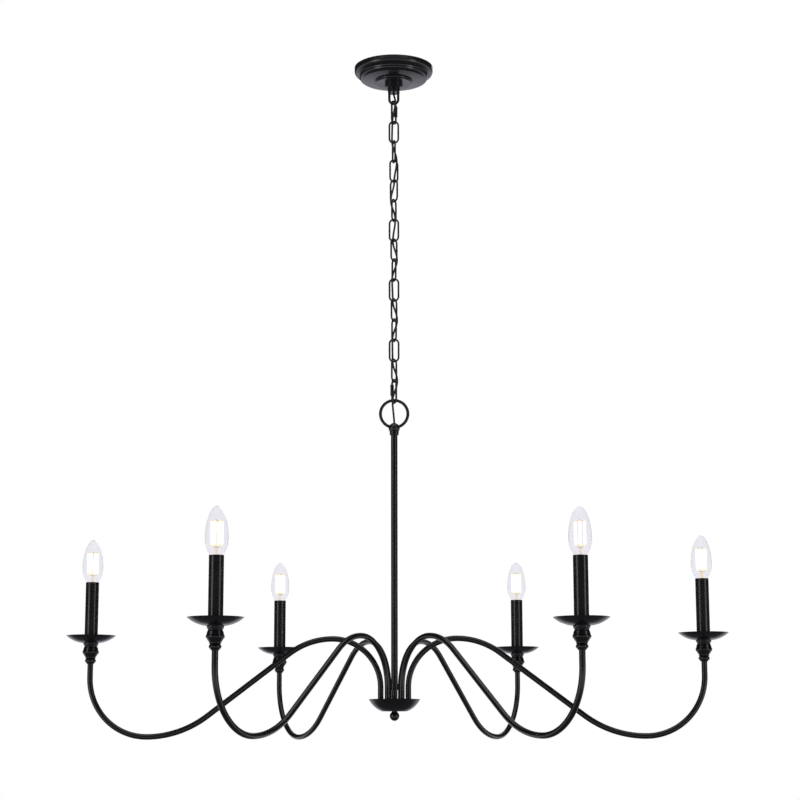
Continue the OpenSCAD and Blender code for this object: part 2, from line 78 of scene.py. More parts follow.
def area_light(name, at, aim, size, watts):
    """A rectangular softbox at one point, turned to another."""
    data = bpy.data.lights.new(name, "AREA")
    data.shape = "RECTANGLE"
    data.size, data.size_y = size
    data.energy = watts
    light = bpy.data.objects.new(name, data)
    light.location = at
    light.rotation_euler = (Vector(aim) - Vector(at)).to_track_quat("-Z", "Y").to_euler()
    bpy.context.scene.collection.objects.link(light)


FLOOR_Z = -2.4
FLOOR_R = 6.0
FADE_FROM, FADE_TO = 1.6, FLOOR_R - 0.3  # the floor's edge fades between these radii

MIDDLE = (0, 0, -0.85)  # of the lamp
# name, place, aim, size and watts
LIGHTS = (
    ("softbox_left", (-2.6, -1.9, -0.5), MIDDLE, (0.9, 2.2), 18),
    ("softbox_right", (2.7, -1.8, -0.5), MIDDLE, (0.8, 2.2), 15),
    ("softbox_back", (0.6, 3.0, 0.6), MIDDLE, (2.2, 1.2), 8),
    ("floor_wash", (0, -0.5, 0.9), (0, 0, FLOOR_Z), (2.5, 2.5), 22),
)

BRIGHT_FLOOR = (0.88, 0.89, 1.0)
DIM_FLOOR = (0.13, 0.13, 0.14)
DARK_ROOM = (0.038, 0.038, 0.04)
WHITE = (1, 1, 1)
# What reflections meet, from straight down (0) through the horizon (0.5) to straight up (1): the
# lamp's own dim surroundings, a bright sweep of floor and a dark upper room.
SURROUNDINGS = (
    (0, DIM_FLOOR), (0.2, DIM_FLOOR),
    (0.31, BRIGHT_FLOOR), (0.42, BRIGHT_FLOOR),
    (0.51, DARK_ROOM),
)


def make_studio():
    """Softboxes in a room that is white to the eye and has its own surroundings to reflect."""
    bpy.context.scene.view_settings.view_transform = "Standard"
    for light in LIGHTS:
        area_light(*light)

    world = bpy.data.worlds.new("white_room")
    bpy.context.scene.world = world
    world.use_nodes = True
    tree = world.node_tree
    tree.nodes.clear()

    height = tree.nodes.new("ShaderNodeSeparateXYZ")
    tree.links.new(tree.nodes.new("ShaderNodeTexCoord").outputs["Generated"], height.inputs[0])
    place = tree.nodes.new("ShaderNodeMapRange")
    place.inputs["From Min"].default_value = -1
    tree.links.new(height.outputs["Z"], place.inputs["Value"])
    ramp = tree.nodes.new("ShaderNodeValToRGB")
    elements = ramp.color_ramp.elements
    while len(elements) < len(SURROUNDINGS):
        elements.new(0.5)
    for element, (at, colour) in zip(elements, SURROUNDINGS):
        element.position = at
        element.color = (*colour, 1)
    tree.links.new(place.outputs["Result"], ramp.inputs["Fac"])
    room = tree.nodes.new("ShaderNodeBackground")
    tree.links.new(ramp.outputs["Color"], room.inputs["Color"])
    # what is seen directly or through glass is plain white
    seen = tree.nodes.new("ShaderNodeBackground")
    seen.inputs["Color"].default_value = (*WHITE, 1)
    path = tree.nodes.new("ShaderNodeLightPath")
    either = tree.nodes.new("ShaderNodeMath")
    either.operation = "MAXIMUM"
    tree.links.new(path.outputs["Is Camera Ray"], either.inputs[0])
    tree.links.new(path.outputs["Is Transmission Ray"], either.inputs[1])
    mix = tree.nodes.new("ShaderNodeMixShader")
    for source, socket in zip((either, room, seen), mix.inputs):
        tree.links.new(source.outputs[0], socket)
    out = tree.nodes.new("ShaderNodeOutputWorld")
    tree.links.new(mix.outputs[0], out.inputs["Surface"])


def make_floor():
    """A pale round floor whose edge fades into the white room."""
    mat = bpy.data.materials.new("floor_white")
    mat.use_nodes = True
    tree = mat.node_tree
    bsdf = tree.nodes["Principled BSDF"]
    bsdf.inputs["Base Color"].default_value = (0.9, 0.9, 0.9, 1)
    bsdf.inputs["Roughness"].default_value = 0.8
    bsdf.inputs["Emission Color"].default_value = (*WHITE, 1)
    bsdf.inputs["Emission Strength"].default_value = 0.62
    out = tree.nodes["Material Output"]
    coords = tree.nodes.new("ShaderNodeTexCoord")
    length = tree.nodes.new("ShaderNodeVectorMath")
    length.operation = "LENGTH"
    fade = tree.nodes.new("ShaderNodeMapRange")
    fade.interpolation_type = "SMOOTHSTEP"
    fade.inputs["From Min"].default_value = FADE_FROM
    fade.inputs["From Max"].default_value = FADE_TO
    clear = tree.nodes.new("ShaderNodeBsdfTransparent")
    mix = tree.nodes.new("ShaderNodeMixShader")
    tree.links.new(coords.outputs["Object"], length.inputs[0])
    tree.links.new(length.outputs["Value"], fade.inputs["Value"])
    tree.links.new(fade.outputs["Result"], mix.inputs["Fac"])
    tree.links.new(bsdf.outputs[0], mix.inputs[1])
    tree.links.new(clear.outputs[0], mix.inputs[2])
    tree.links.new(mix.outputs[0], out.inputs["Surface"])
    mesh = bpy.data.meshes.new("floor")
    bm = bmesh.new()
    bmesh.ops.create_circle(bm, cap_ends=True, segments=96, radius=FLOOR_R)
    bm.to_mesh(mesh)
    bm.free()
    mesh.materials.append(mat)
    floor = bpy.data.objects.new("floor", mesh)
    floor.location = (0, 0, FLOOR_Z)
    floor.visible_glossy = False  # reflections see the room's own sweep of floor instead
    floor.visible_diffuse = False
    bpy.context.scene.collection.objects.link(floor)


# ---------------------------------------------------------------- materials


class Shader:
    """A Principled material with short calls for the nodes that feed it."""

    def __init__(self, name, colour, roughness, metallic=0.0, **sockets):
        self.mat = bpy.data.materials.new(name)
        self.mat.use_nodes = True
        self.tree = self.mat.node_tree
        self.bsdf = self.tree.nodes["Principled BSDF"]
        self.set("Base Color", (*colour, 1))
        self.set("Roughness", roughness)
        self.set("Metallic", metallic)
        for key, value in sockets.items():
            self.set(key.replace("_", " "), value)
        self.coords = self.tree.nodes.new("ShaderNodeTexCoord").outputs["Object"]

    def set(self, socket, value):
        self.bsdf.inputs[socket].default_value = value

    def link(self, source, socket):
        self.tree.links.new(source, self.bsdf.inputs[socket])

    def stretched(self, scale):
        node = self.tree.nodes.new("ShaderNodeMapping")
        node.inputs["Scale"].default_value = scale
        self.tree.links.new(self.coords, node.inputs["Vector"])
        return node.outputs["Vector"]

    def noise(self, scale, detail=3.0, rough=0.5, vector=None):
        node = self.tree.nodes.new("ShaderNodeTexNoise")
        node.inputs["Scale"].default_value = scale
        node.inputs["Detail"].default_value = detail
        node.inputs["Roughness"].default_value = rough
        self.tree.links.new(vector or self.coords, node.inputs["Vector"])
        return node.outputs["Fac"]

    def ramp(self, fac, *stops):
        """Each stop is (place, grey or colour)."""
        node = self.tree.nodes.new("ShaderNodeValToRGB")
        elements = node.color_ramp.elements
        while len(elements) < len(stops):
            elements.new(0.5)
        for element, (place, tone) in zip(elements, stops):
            element.position = place
            element.color = (*tone, 1) if isinstance(tone, tuple) else (tone, tone, tone, 1)
        self.tree.links.new(fac, node.inputs["Fac"])
        return node.outputs["Color"]

    def spread(self, fac, low, high):
        """Spreads the middle half of a noise's values from low to high."""
        node = self.tree.nodes.new("ShaderNodeMapRange")
        values = {"From Min": 0.25, "From Max": 0.75, "To Min": low, "To Max": high}
        for key, value in values.items():
            node.inputs[key].default_value = value
        self.tree.links.new(fac, node.inputs["Value"])
        return node.outputs["Result"]

    def bump(self, height, distance, strength=1.0, under=None):
        node = self.tree.nodes.new("ShaderNodeBump")
        node.inputs["Distance"].default_value = distance
        node.inputs["Strength"].default_value = strength
        self.tree.links.new(height, node.inputs["Height"])
        if under:
            self.tree.links.new(under, node.inputs["Normal"])
        self.link(node.outputs["Normal"], "Normal")
        return node.outputs["Normal"]


WAVE_DEPTH = 0.00025
PEEL_DEPTH = 0.00003


def powder_coat(name, tone, rough, peel):
    """Satin black powder coat: orange peel, slow changes in gloss and a few pale specks."""
    s = Shader(name, (tone, tone, tone * 1.12), rough)
    slow = s.noise(34, 3)
    s.link(s.spread(slow, rough - 0.04, rough + 0.05), "Roughness")
    dark, pale = (tone * 0.8, tone * 0.8, tone * 0.9), (tone * 1.25, tone * 1.25, tone * 1.42)
    speck = tuple(2 * c for c in pale)
    s.link(s.ramp(s.noise(420, 4, 0.6), (0.3, dark), (0.62, pale), (0.78, speck)), "Base Color")
    wave = s.bump(s.noise(55, 2), WAVE_DEPTH, 0.2)
    s.bump(s.noise(1100, 2, 0.4), PEEL_DEPTH * peel, 0.6, under=wave)
    return s.mat


def make_materials():
    mats = {
        "coat": powder_coat("powder_coat_black", 0.006, 0.24, 0.8),
        "coat_sleeve": powder_coat("sleeve_black", 0.006, 0.25, 0.6),
        "coat_chain": powder_coat("chain_black", 0.005, 0.28, 1.2),
    }

    s = Shader("zinc_plate", (0.6, 0.6, 0.57), 0.35, 1.0)
    tones = s.ramp(
        s.noise(90, 4),
        (0.3, (0.46, 0.47, 0.48)),
        (0.7, (0.7, 0.68, 0.6)),
    )
    s.link(tones, "Base Color")
    s.link(s.spread(s.noise(240, 3), 0.25, 0.5), "Roughness")
    s.bump(s.noise(700, 2, vector=s.stretched((1, 12, 1))), 0.00005, 0.4)
    mats["zinc"] = s.mat

    s = Shader("cord_sheath", (0.012, 0.012, 0.012), 0.5)
    s.link(s.ramp(s.noise(160, 3), (0.3, 0.008), (0.7, 0.018)), "Base Color")
    s.link(s.spread(s.noise(60, 2), 0.42, 0.6), "Roughness")
    s.bump(s.noise(900, 2, vector=s.stretched((1, 1, 0.15))), 0.00005, 0.5)
    mats["cord"] = s.mat

    s = Shader("socket_cream", (0.75, 0.7, 0.6), 0.42)
    tones = s.ramp(
        s.noise(350, 4, 0.7),
        (0.35, (0.7, 0.64, 0.52)),
        (0.6, (0.8, 0.76, 0.67)),
    )
    s.link(tones, "Base Color")
    s.link(s.spread(s.noise(80, 2), 0.35, 0.55), "Roughness")
    s.bump(s.noise(800, 2), 0.00004, 0.4)
    mats["socket"] = s.mat

    s = Shader("base_brass", (0.7, 0.52, 0.26), 0.28, 1.0)
    tones = s.ramp(
        s.noise(160, 4),
        (0.3, (0.6, 0.42, 0.18)),
        (0.7, (0.82, 0.64, 0.36)),
    )
    s.link(tones, "Base Color")
    s.link(s.spread(s.noise(500, 3), 0.18, 0.4), "Roughness")
    s.bump(s.noise(900, 2, vector=s.stretched((1, 1, 8))), 0.00003, 0.3)
    mats["brass"] = s.mat

    s = Shader("bulb_glass", (0.907, 0.9, 0.934), 0.0, Transmission_Weight=1.0, IOR=1.2)
    s.bump(s.noise(45, 2), 0.0003, 0.02)
    mats["glass"] = s.mat

    s = Shader("stem_glass", (1.0, 0.86, 0.62), 0.05, Transmission_Weight=1.0, IOR=1.45)
    s.bump(s.noise(260, 3), 0.0004, 0.3)
    mats["stem_glass"] = s.mat

    s = Shader("filament_lit", (1.0, 0.8, 0.35), 0.6)
    s.set("Emission Strength", 3.0)
    tones = s.ramp(
        s.noise(900, 2),
        (0.3, (1.0, 0.8, 0.5)),
        (0.7, (1.0, 0.88, 0.66)),
    )
    s.link(tones, "Emission Color")
    mats["filament"] = s.mat

    s = Shader("filament_end", (1.0, 0.6, 0.1), 0.6)
    s.set("Emission Strength", 1.6)
    tones = s.ramp(
        s.noise(900, 2),
        (0.3, (1.0, 0.6, 0.12)),
        (0.7, (1.0, 0.72, 0.25)),
    )
    s.link(tones, "Emission Color")
    mats["filament_end"] = s.mat

    s = Shader("support_wire", (0.75, 0.68, 0.55), 0.25, 1.0)
    s.link(s.spread(s.noise(700, 2), 0.18, 0.35), "Roughness")
    mats["wire"] = s.mat

    s = Shader("black_glass", (0.02, 0.02, 0.025), 0.12)
    s.link(s.spread(s.noise(300, 3), 0.08, 0.25), "Roughness")
    mats["black_glass"] = s.mat

    s = Shader("lead_white", (0.8, 0.8, 0.77), 0.45)
    s.link(s.ramp(s.noise(200, 3), (0.3, 0.68), (0.7, 0.82)), "Base Color")
    s.bump(s.noise(900, 2), 0.00004, 0.4)
    mats["lead_white"] = s.mat

    s = Shader("ground_green", (0.02, 0.24, 0.07), 0.35)
    tones = s.ramp(
        s.noise(300, 3),
        (0.3, (0.015, 0.18, 0.05)),
        (0.7, (0.03, 0.3, 0.1)),
    )
    s.link(tones, "Base Color")
    s.bump(s.noise(900, 2), 0.00003, 0.4)
    mats["green"] = s.mat
    # the softboxes light the scene, and the filaments only have to look lit
    for key in ("filament", "filament_end"):
        mats[key].cycles.emission_sampling = "NONE"
    return mats


# ---------------------------------------------------------------- mesh helpers

SHARP_FROM = 38  # degrees


def new_piece(name, bm, mat):
    """A smooth-shaded object made of a bmesh, with its sharp edges kept."""
    bmesh.ops.recalc_face_normals(bm, faces=bm.faces)
    mesh = bpy.data.meshes.new(name)
    bm.to_mesh(mesh)
    bm.free()
    mesh.materials.append(mat)
    mesh.polygons.foreach_set("use_smooth", [True] * len(mesh.polygons))
    mesh.set_sharp_from_angle(angle=math.radians(SHARP_FROM))
    piece = bpy.data.objects.new(name, mesh)
    bpy.context.scene.collection.objects.link(piece)
    return piece


def hardware(name, bm, mat, body, slot):
    """A new piece that rides on one body."""
    piece = new_piece(name, bm, mat)
    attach(piece, body)
    return piece


def add_rings(bm, rings):
    """Skins a list of equally long rings of points, with a flat cap at each end."""
    made = [[bm.verts.new(p) for p in ring] for ring in rings]
    count = len(rings[0])
    for low, high in zip(made, made[1:]):
        for i in range(count):
            j = (i + 1) % count
            bm.faces.new((low[i], low[j], high[j], high[i]))
    bm.faces.new(list(reversed(made[0])))
    bm.faces.new(made[-1])


def add_lathe(bm, at, profile, sides=48):
    """Turns (radius, height) points, in mm, about the upright axis through at.

    Points on the axis close the ends.
    """
    x, y, z = at
    rows = []
    for r, h in profile:
        if r < 1e-6:
            rows.append([bm.verts.new((x, y, z + h * MM))])
        else:
            rows.append([
                bm.verts.new((
                    x + r * MM * math.cos(2 * math.pi * i / sides),
                    y + r * MM * math.sin(2 * math.pi * i / sides),
                    z + h * MM,
                ))
                for i in range(sides)
            ])
    for low, high in zip(rows, rows[1:]):
        for i in range(sides):
            j = (i + 1) % sides
            corners = [
                low[i % len(low)], low[j % len(low)], high[j % len(high)], high[i % len(high)],
            ]
            corners = [v for k, v in enumerate(corners) if v not in corners[:k]]
            if len(corners) > 2:
                bm.faces.new(corners)


def frame_at(path, i):
    """Two directions square to a path at point i, turning as little as they can."""
    along = (path[min(i + 1, len(path) - 1)] - path[max(i - 1, 0)]).normalized()
    side = Vector((0, 1, 0)).cross(along)
    if side.length < 0.2:
        side = Vector((1, 0, 0)).cross(along)
    side.normalize()
    return side, along.cross(side)


def tube_rings(path, radius, sides=12):
    """Rings round a path; radius is a number or one for each point, in metres."""
    rings = []
    angles = [2 * math.pi * k / sides for k in range(sides)]
    for i, p in enumerate(path):
        side, up = frame_at(path, i)
        r = radius[i] if isinstance(radius, (list, tuple)) else radius
        rings.append([p + r * (math.cos(a) * side + math.sin(a) * up) for a in angles])
    return rings


def add_tube(bm, path, radius, sides=12):
    """A solid rod along a path."""
    add_rings(bm, tube_rings([Vector(p) for p in path], radius, sides))


def add_thread(bm, at, r_out, depth, pitch, z0, z1, sides=48, per_turn=10):
    """A screw thread as a rippled cylinder, in mm, about the vertical axis through at."""
    x, y, z = at
    steps = max(2, round((z1 - z0) / pitch * per_turn))
    rings = []
    for k in range(steps + 1):
        h = z0 + (z1 - z0) * k / steps
        fade = min(1, k / per_turn * 1.5, (steps - k) / per_turn * 1.5)
        ring = []
        for i in range(sides):
            a = 2 * math.pi * i / sides
            crest = 0.5 + 0.5 * math.cos(2 * math.pi * h / pitch - a)
            r = (r_out - depth + depth * crest * fade) * MM
            ring.append((x + r * math.cos(a), y + r * math.sin(a), z + h * MM))
        rings.append(ring)
    add_rings(bm, rings)


def add_ribbed_cone(bm, at, profile, ribs, depth, sides=96):
    """Like a lathe of (radius, height) points in mm, with upright ribs round it."""
    x, y, z = at
    rings = []
    for r, h in profile:
        ring = []
        for i in range(sides):
            a = 2 * math.pi * i / sides
            rib = (r + depth * math.cos(ribs * a)) * MM
            ring.append((x + rib * math.cos(a), y + rib * math.sin(a), z + h * MM))
        rings.append(ring)
    add_rings(bm, rings)


def middle_of(node):
    """The axis of an upright round node, and its lowest and highest z."""
    low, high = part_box(node)
    return (low.x + high.x) / 2, (low.y + high.y) / 2, low.z, high.z


# ---------------------------------------------------------------- supply cord

# The pieces that hang in one another, from the canopy's loop down to the ring, with the turn of
# each one's plane about the vertical in degrees.
LINKS = 13
HANGING = (
    ["canopy_loop", "quick_link_top"]
    + [f"chain_link_{i:02d}" for i in range(1, LINKS + 1)]
    + ["quick_link_bottom", "top_ring"]
)
HANGING_BODIES = ["ceiling", *HANGING[1:-1], "stem"]
TWIST_UPPER, TWIST_LOWER, TWIST_LINK = -74, 61.4, 6
LINK_TURNS = [
    TWIST_UPPER * (i - 1) if i <= TWIST_LINK
    else TWIST_UPPER * (TWIST_LINK - 1) + TWIST_LOWER * (i - TWIST_LINK)
    for i in range(1, LINKS + 1)
]
TURNS = [0, 60, *LINK_TURNS, 120, 180]
LINK_W, LINK_WIRE, QUICK_WIRE = 18.7, 3.2, 3.5
LINK_LEG = (LINK_W - LINK_WIRE) / 2  # from a welded link's middle to its leg
WIRES = [4.5, QUICK_WIRE, *[LINK_WIRE] * LINKS, QUICK_WIRE, 5.2]  # diameters in mm

CORD_R = 1.7 * MM
CORD_OFF = 5.4 * MM
CORD_TOP = -3 * MM
CORD_IN_STEM = 18 * MM
NECK_LOW = -46  # the canopy loop's neck ends at this height
RING_R, BOSS_DROP, BOSS_R = 26, 25.1, 9.5  # the ring, and its boss below the ring's centre
CORD_STEP, FEWEST_STEPS = 3.5 * MM, 10  # along one piece of the cord
CORD_SIDES = 16
BEND_FROM, BEND_TO = 12 * MM, 14 * MM  # above the loop's low wire, under the last link's


def low_wire(k):
    """Underside of a hanging piece's lowest wire."""
    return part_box(HANGING[k])[0].z


def crossing(k):
    """The point beside the place where pieces k and k + 1 hang in each other."""
    a = math.radians((TURNS[k] + TURNS[k + 1]) / 2 + 90)
    side = 1 if k % 2 else -1
    upper = low_wire(k) + WIRES[k] * MM
    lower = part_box(HANGING[k + 1])[1].z - WIRES[k + 1] * MM
    off = side * CORD_OFF
    return Vector((off * math.cos(a), off * math.sin(a), (upper + lower) / 2))


def eased(p, q, t):
    """The point a part t of the way down from p to q, swaying softly to the side."""
    s = (1 - math.cos(math.pi * t)) / 2
    return Vector((p.x + (q.x - p.x) * s, p.y + (q.y - p.y) * s, p.z + (q.z - p.z) * t))


def cord_at(z, stations):
    """The route's point at a height; the stations run from the top down."""
    for p, q in zip(stations, stations[1:]):
        if z >= q.z:
            return eased(p, q, (p.z - z) / (p.z - q.z))
    return stations[-1].copy()


def make_cord(mats):
    """One piece of cord for each joint of the chain."""
    ring_low, ring_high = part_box("top_ring")
    boss_top = ring_high.z - (RING_R + BOSS_DROP - BOSS_R) * MM
    stations = (
        [Vector((0, 0, CORD_TOP)), Vector((0, 0, (NECK_LOW - 1) * MM))]
        + [crossing(k) for k in range(len(HANGING) - 1)]
        + [Vector((0, 0, boss_top - 1 * MM)), Vector((0, 0, ring_low.z - CORD_IN_STEM))]
    )
    mids = [CORD_TOP]
    for piece in HANGING[1:-1]:
        low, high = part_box(piece)
        mids.append((low.z + high.z) / 2)
    mids.append(stations[-1].z)
    pieces, total = [], 0
    for k, (top, bottom) in enumerate(zip(mids, mids[1:])):
        steps = max(FEWEST_STEPS, round((top - bottom) / CORD_STEP))
        line = [cord_at(top + (bottom - top) * i / steps, stations) for i in range(steps + 1)]
        bm = bmesh.new()
        add_rings(bm, tube_rings(line, CORD_R, CORD_SIDES))
        piece = new_piece(f"cord_{k + 1:02d}", bm, mats["cord"])
        # where each piece's bend would start and end, leaving the stiff parts in the loop's neck
        # and in the stem straight; nothing uses these points
        start = Vector((0, 0, mids[k] if k else low_wire(0) + BEND_FROM))
        end = Vector((0, 0, mids[k + 1] if k < len(mids) - 2 else low_wire(k) - BEND_TO))
        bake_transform(piece)
        length = sum((b - a).length for a, b in zip(line, line[1:]))
        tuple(line[0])
        pieces.append(piece)
        total += length
    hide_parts("supply_cord")
    print(f"cord length {total:.4f} m")


# ---------------------------------------------------------------- bulbs

# in mm, with heights from the sleeve's top
GLASS_R, GLASS_H, GLASS_WALL = 17.3, 72, 0.6
BELLY, FOOT, FOOT_R = 27, 8, 6.3
MOUTH = 0.56  # the glass's radius at the sleeve's top, as a part of GLASS_R
ROWS_LOW, ROWS_HIGH = 16, 26
STEM = (
    (0, -7.6), (4.9, -7.6), (4.9, -6.8), (3.6, -4.8), (2.7, -1.5), (2.4, 3), (2.3, 8),
    (2.6, 10.2), (2.2, 11.6), (1.2, 12.4), (0, 12.6),
)
BASE_R, BASE_H = 5.95, 17
THREAD_DEPTH, THREAD_PITCH = 0.5, 2.54
FILAMENTS = 6
FILAMENT_LOW, FILAMENT_HIGH, FILAMENT_R = 14.5, 49.5, 1.4
FILAMENT_CIRCLE = 7.6  # radius of the circle that they stand on
FILAMENT_END = 1.7  # length of the dimmer stretch at each end
FILAMENT_TURN, TURN_SPREAD = 18.4, 7  # degrees
HUB_LOW, HUB_HIGH = 11.4, 51.4  # where the support wires meet
WIRE_R, POST_R = 0.22, 0.28


def glass_at(z):
    """The glass's outside radius at height z above the sleeve's top."""
    if z < 0:
        return FOOT_R + (GLASS_R * MOUTH - FOOT_R) * (z + FOOT) / FOOT
    if z < BELLY:
        return GLASS_R * (1 - (1 - MOUTH) * ((BELLY - z) / BELLY) ** 2.2)
    return GLASS_R * max(0, 1 - ((z - BELLY) / (GLASS_H - BELLY)) ** 1.6) ** 0.47


def glass_profile(inset, top):
    """The glass's (radius, height) points from its foot up to the tip at height top."""
    low = [-FOOT + (BELLY + FOOT) * i / ROWS_LOW for i in range(ROWS_LOW)]
    turns = [math.pi / 2 * i / ROWS_HIGH for i in range(ROWS_HIGH)]
    high = [BELLY + (top - BELLY) * math.sin(t) for t in turns]
    rows = [(max(glass_at(z) - inset, 0.05), z) for z in [*low, *high]]
    return [*rows, (0, top)]


def make_glass(at, keep):
    """The candle-shaped envelope and the glass stem in its foot."""
    bm = bmesh.new()
    outer = glass_profile(0, GLASS_H)
    inner = glass_profile(GLASS_WALL, GLASS_H - 1.3 * GLASS_WALL)
    add_lathe(bm, at, [*reversed(outer), *inner], 64)
    envelope = keep("glass", bm, "glass", "bulb_glass")
    bm = bmesh.new()
    add_lathe(bm, at, STEM, 32)
    keep("stem", bm, "stem_glass", "bulb_glass")
    return envelope


def make_filaments(at, keep):
    """A ring of upright filaments with dimmer ends, on support wires and a post."""
    turn = math.radians(FILAMENT_TURN + random.uniform(-TURN_SPREAD, TURN_SPREAD))
    spin = [turn + 2 * math.pi * i / FILAMENTS for i in range(FILAMENTS)]
    low, high, circle = FILAMENT_LOW, FILAMENT_HIGH, FILAMENT_CIRCLE

    def spot(a, r, z):
        return Vector(at) + Vector((r * math.cos(a), r * math.sin(a), z)) * MM

    def rod(a, z0, z1, radius):
        add_tube(bm, [spot(a, circle, z0), spot(a, circle, z1)], radius * MM, 14)

    bm = bmesh.new()
    for a in spin:
        rod(a, low + FILAMENT_END - 0.1, high - FILAMENT_END + 0.1, FILAMENT_R)
    lit = [keep("filaments", bm, "filament", "filament")]
    bm = bmesh.new()
    for a in spin:
        rod(a, low, low + FILAMENT_END, FILAMENT_R * 0.86)
        rod(a, high - FILAMENT_END, high, FILAMENT_R * 0.86)
    lit.append(keep("filament_ends", bm, "filament_end", "filament"))
    for piece in lit:
        # their light on the coats would only be specks
        piece.visible_glossy = False
        piece.visible_diffuse = False

    bm = bmesh.new()
    for a in spin:
        for z0, z1, hub in ((low, low - 1.8, HUB_LOW), (high, high + 1.2, HUB_HIGH)):
            add_tube(bm, [
                spot(a, circle, z0), spot(a, circle * 0.97, z1),
                spot(a, circle * 0.6, (z1 + hub) / 2), spot(a, 0.5, hub),
            ], WIRE_R * MM, 8)
    post = [spot(0, 0.3, z) for z in (HUB_LOW - 0.9, 30, HUB_HIGH + 0.2)]
    add_tube(bm, post, POST_R * MM, 8)
    add_lathe(bm, at, [(0, 50.6), (0.7, 50.8), (0.95, 51.5), (0.7, 52.2), (0, 52.5)], 16)
    keep("wires", bm, "wire", "brass")


def make_base(at, keep):
    """The brass screw base with its contact, and the black glass between the two."""
    low = -FOOT - BASE_H
    bm = bmesh.new()
    add_lathe(bm, at, [
        (5.2, -FOOT + 1.6), (6.25, -FOOT + 1.5), (6.3, -FOOT + 0.4), (BASE_R, -FOOT - 0.6),
        (BASE_R - 0.45, -FOOT - 1.6), (5.2, -FOOT - 1.6),
    ], 48)
    add_thread(bm, at, BASE_R, THREAD_DEPTH, THREAD_PITCH, low + 1.6, -FOOT - 1.4)
    add_lathe(bm, at, [
        (BASE_R - THREAD_DEPTH, low + 1.7), (4.6, low + 0.4), (4.2, low + 0.1), (0, low + 0.1),
    ], 48)
    add_lathe(bm, at, [
        (0, low - 1.95), (1.2, low - 1.9), (1.9, low - 1.3), (2.0, low - 0.4), (0, low - 0.4),
    ], 32)
    keep("base", bm, "brass", "brass")
    bm = bmesh.new()
    add_lathe(bm, at, [
        (0, low - 1.3), (2.3, low - 1.3), (3.9, low - 0.1), (4.3, low + 0.5), (0, low + 0.5),
    ], 32)
    keep("insulator", bm, "black_glass", "black_metal")


def make_bulb(n, mats):
    """A candle bulb in place of the CAD's plain one."""
    x, y, _, sleeve_top = middle_of(f"candle_sleeve_{n}")
    at = (x, y, sleeve_top)

    def keep(name, bm, mat, slot):
        return hardware(f"bulb_{n}_{name}", bm, mats[mat], f"bulb_{n}", slot)

    envelope = make_glass(at, keep)
    make_filaments(at, keep)
    make_base(at, keep)
    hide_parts(f"bulb_{n}")


# ---------------------------------------------------------------- small hardware


def link_point(k, along, z):
    """A point in hanging piece k's plane, along mm to its side and at height z."""
    a = math.radians(TURNS[k])
    return Vector((along * MM * math.cos(a), along * MM * math.sin(a), z))


# (height, radius) of the weld bead on a link's leg, in mm
WELD = (
    (-1.5, 1.56), (-1.1, 1.66), (-0.6, 1.82), (-0.1, 1.74),
    (0.2, 1.84), (0.7, 1.77), (1.1, 1.65), (1.5, 1.56),
)
WELD_SIDES = 20
WELD_SHIFT = 1.5 * MM  # a weld is off the link's middle by up to this
QUICK_LEG = 7.0
NUT_RISE, NUT_LEN = 3, 18  # the quick link's nut is centred this far above the link's middle
NUT_BAND = 2.4  # height of the raised band at each end of the nut
QUICK_THREAD = (1.98, 0.24, 0.8)  # radius, depth and pitch


def make_chain_details(mats):
    """A weld on every link, and thread and bands at every quick link's nut."""
    for i in range(1, LINKS + 1):
        k = i + 1
        low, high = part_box(HANGING[k])
        side = 1 if i % 2 else -1
        mid = (low.z + high.z) / 2 + random.uniform(-1, 1) * WELD_SHIFT
        at = link_point(k, side * LINK_LEG, mid)
        bm = bmesh.new()
        rings = []
        for h, r in WELD:
            ring = []
            for s in range(WELD_SIDES):
                a = 2 * math.pi * s / WELD_SIDES
                rough = (r + random.uniform(-0.03, 0.05)) * MM
                ring.append((at.x + rough * math.cos(a), at.y + rough * math.sin(a), at.z + h * MM))
            rings.append(ring)
        add_rings(bm, rings)
        hardware(f"weld_{i:02d}", bm, mats["coat_chain"], HANGING_BODIES[k], "black_metal")
    for k in (1, len(HANGING) - 2):
        low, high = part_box(HANGING[k])
        mid = (low.z + high.z) / 2
        at = link_point(k, QUICK_LEG, mid)
        bm = bmesh.new()
        nut_low, nut_high = NUT_RISE - NUT_LEN / 2, NUT_RISE + NUT_LEN / 2
        add_thread(bm, at, *QUICK_THREAD, nut_high - 1, nut_high + 3.2, 24, 8)
        add_thread(bm, at, *QUICK_THREAD, nut_low - 2.2, nut_low + 1, 24, 8)
        for z0 in (nut_low, nut_high - NUT_BAND):
            z1 = z0 + NUT_BAND
            add_lathe(bm, at, [
                (2.9, z0), (3.12, z0 + 0.2), (3.2, z0 + 0.6),
                (3.2, z1 - 0.6), (3.12, z1 - 0.2), (2.9, z1),
            ], 32)
        name = HANGING[k].replace("quick_link", "quick_nut")
        hardware(name, bm, mats["coat_chain"], HANGING_BODIES[k], "black_metal")


# in mm, from the ceiling: the crossbar's underside, the end of the nut on the nipple and the
# top of the loop's neck
BAR_UNDER, NUT_END, NECK_TOP = -2.5, -7.55, -16
CONNECTOR_X, CONNECTOR_Y = 19, 22
CONNECTOR = ((3.1, -20.2), (3.9, -19.2), (5.3, -8.6), (5.4, -7), (4.8, -6.4))
# a lead's route from the ceiling into its connector, from the connector's axis
LEAD = ((7, 2, -0.7), (6.6, 1.9, -1.9), (4.4, 1.2, -3.4), (2.2, 0, -4.8), (1.5, 0, -6.9))
LEAD_R = 1.1
GROUND_X = -24
GROUND_HEAD = ((3.1, -1.1), (3.4, -1.3), (3.4, -2.8), (2.9, -3.2), (0.9, -3.3), (0.8, -2.4))
GROUND_WIRE_R, GROUND_LOOP = 0.5, 4.1
NIPPLE_THREAD = (5.25, 0.28, 1)  # radius, depth and pitch


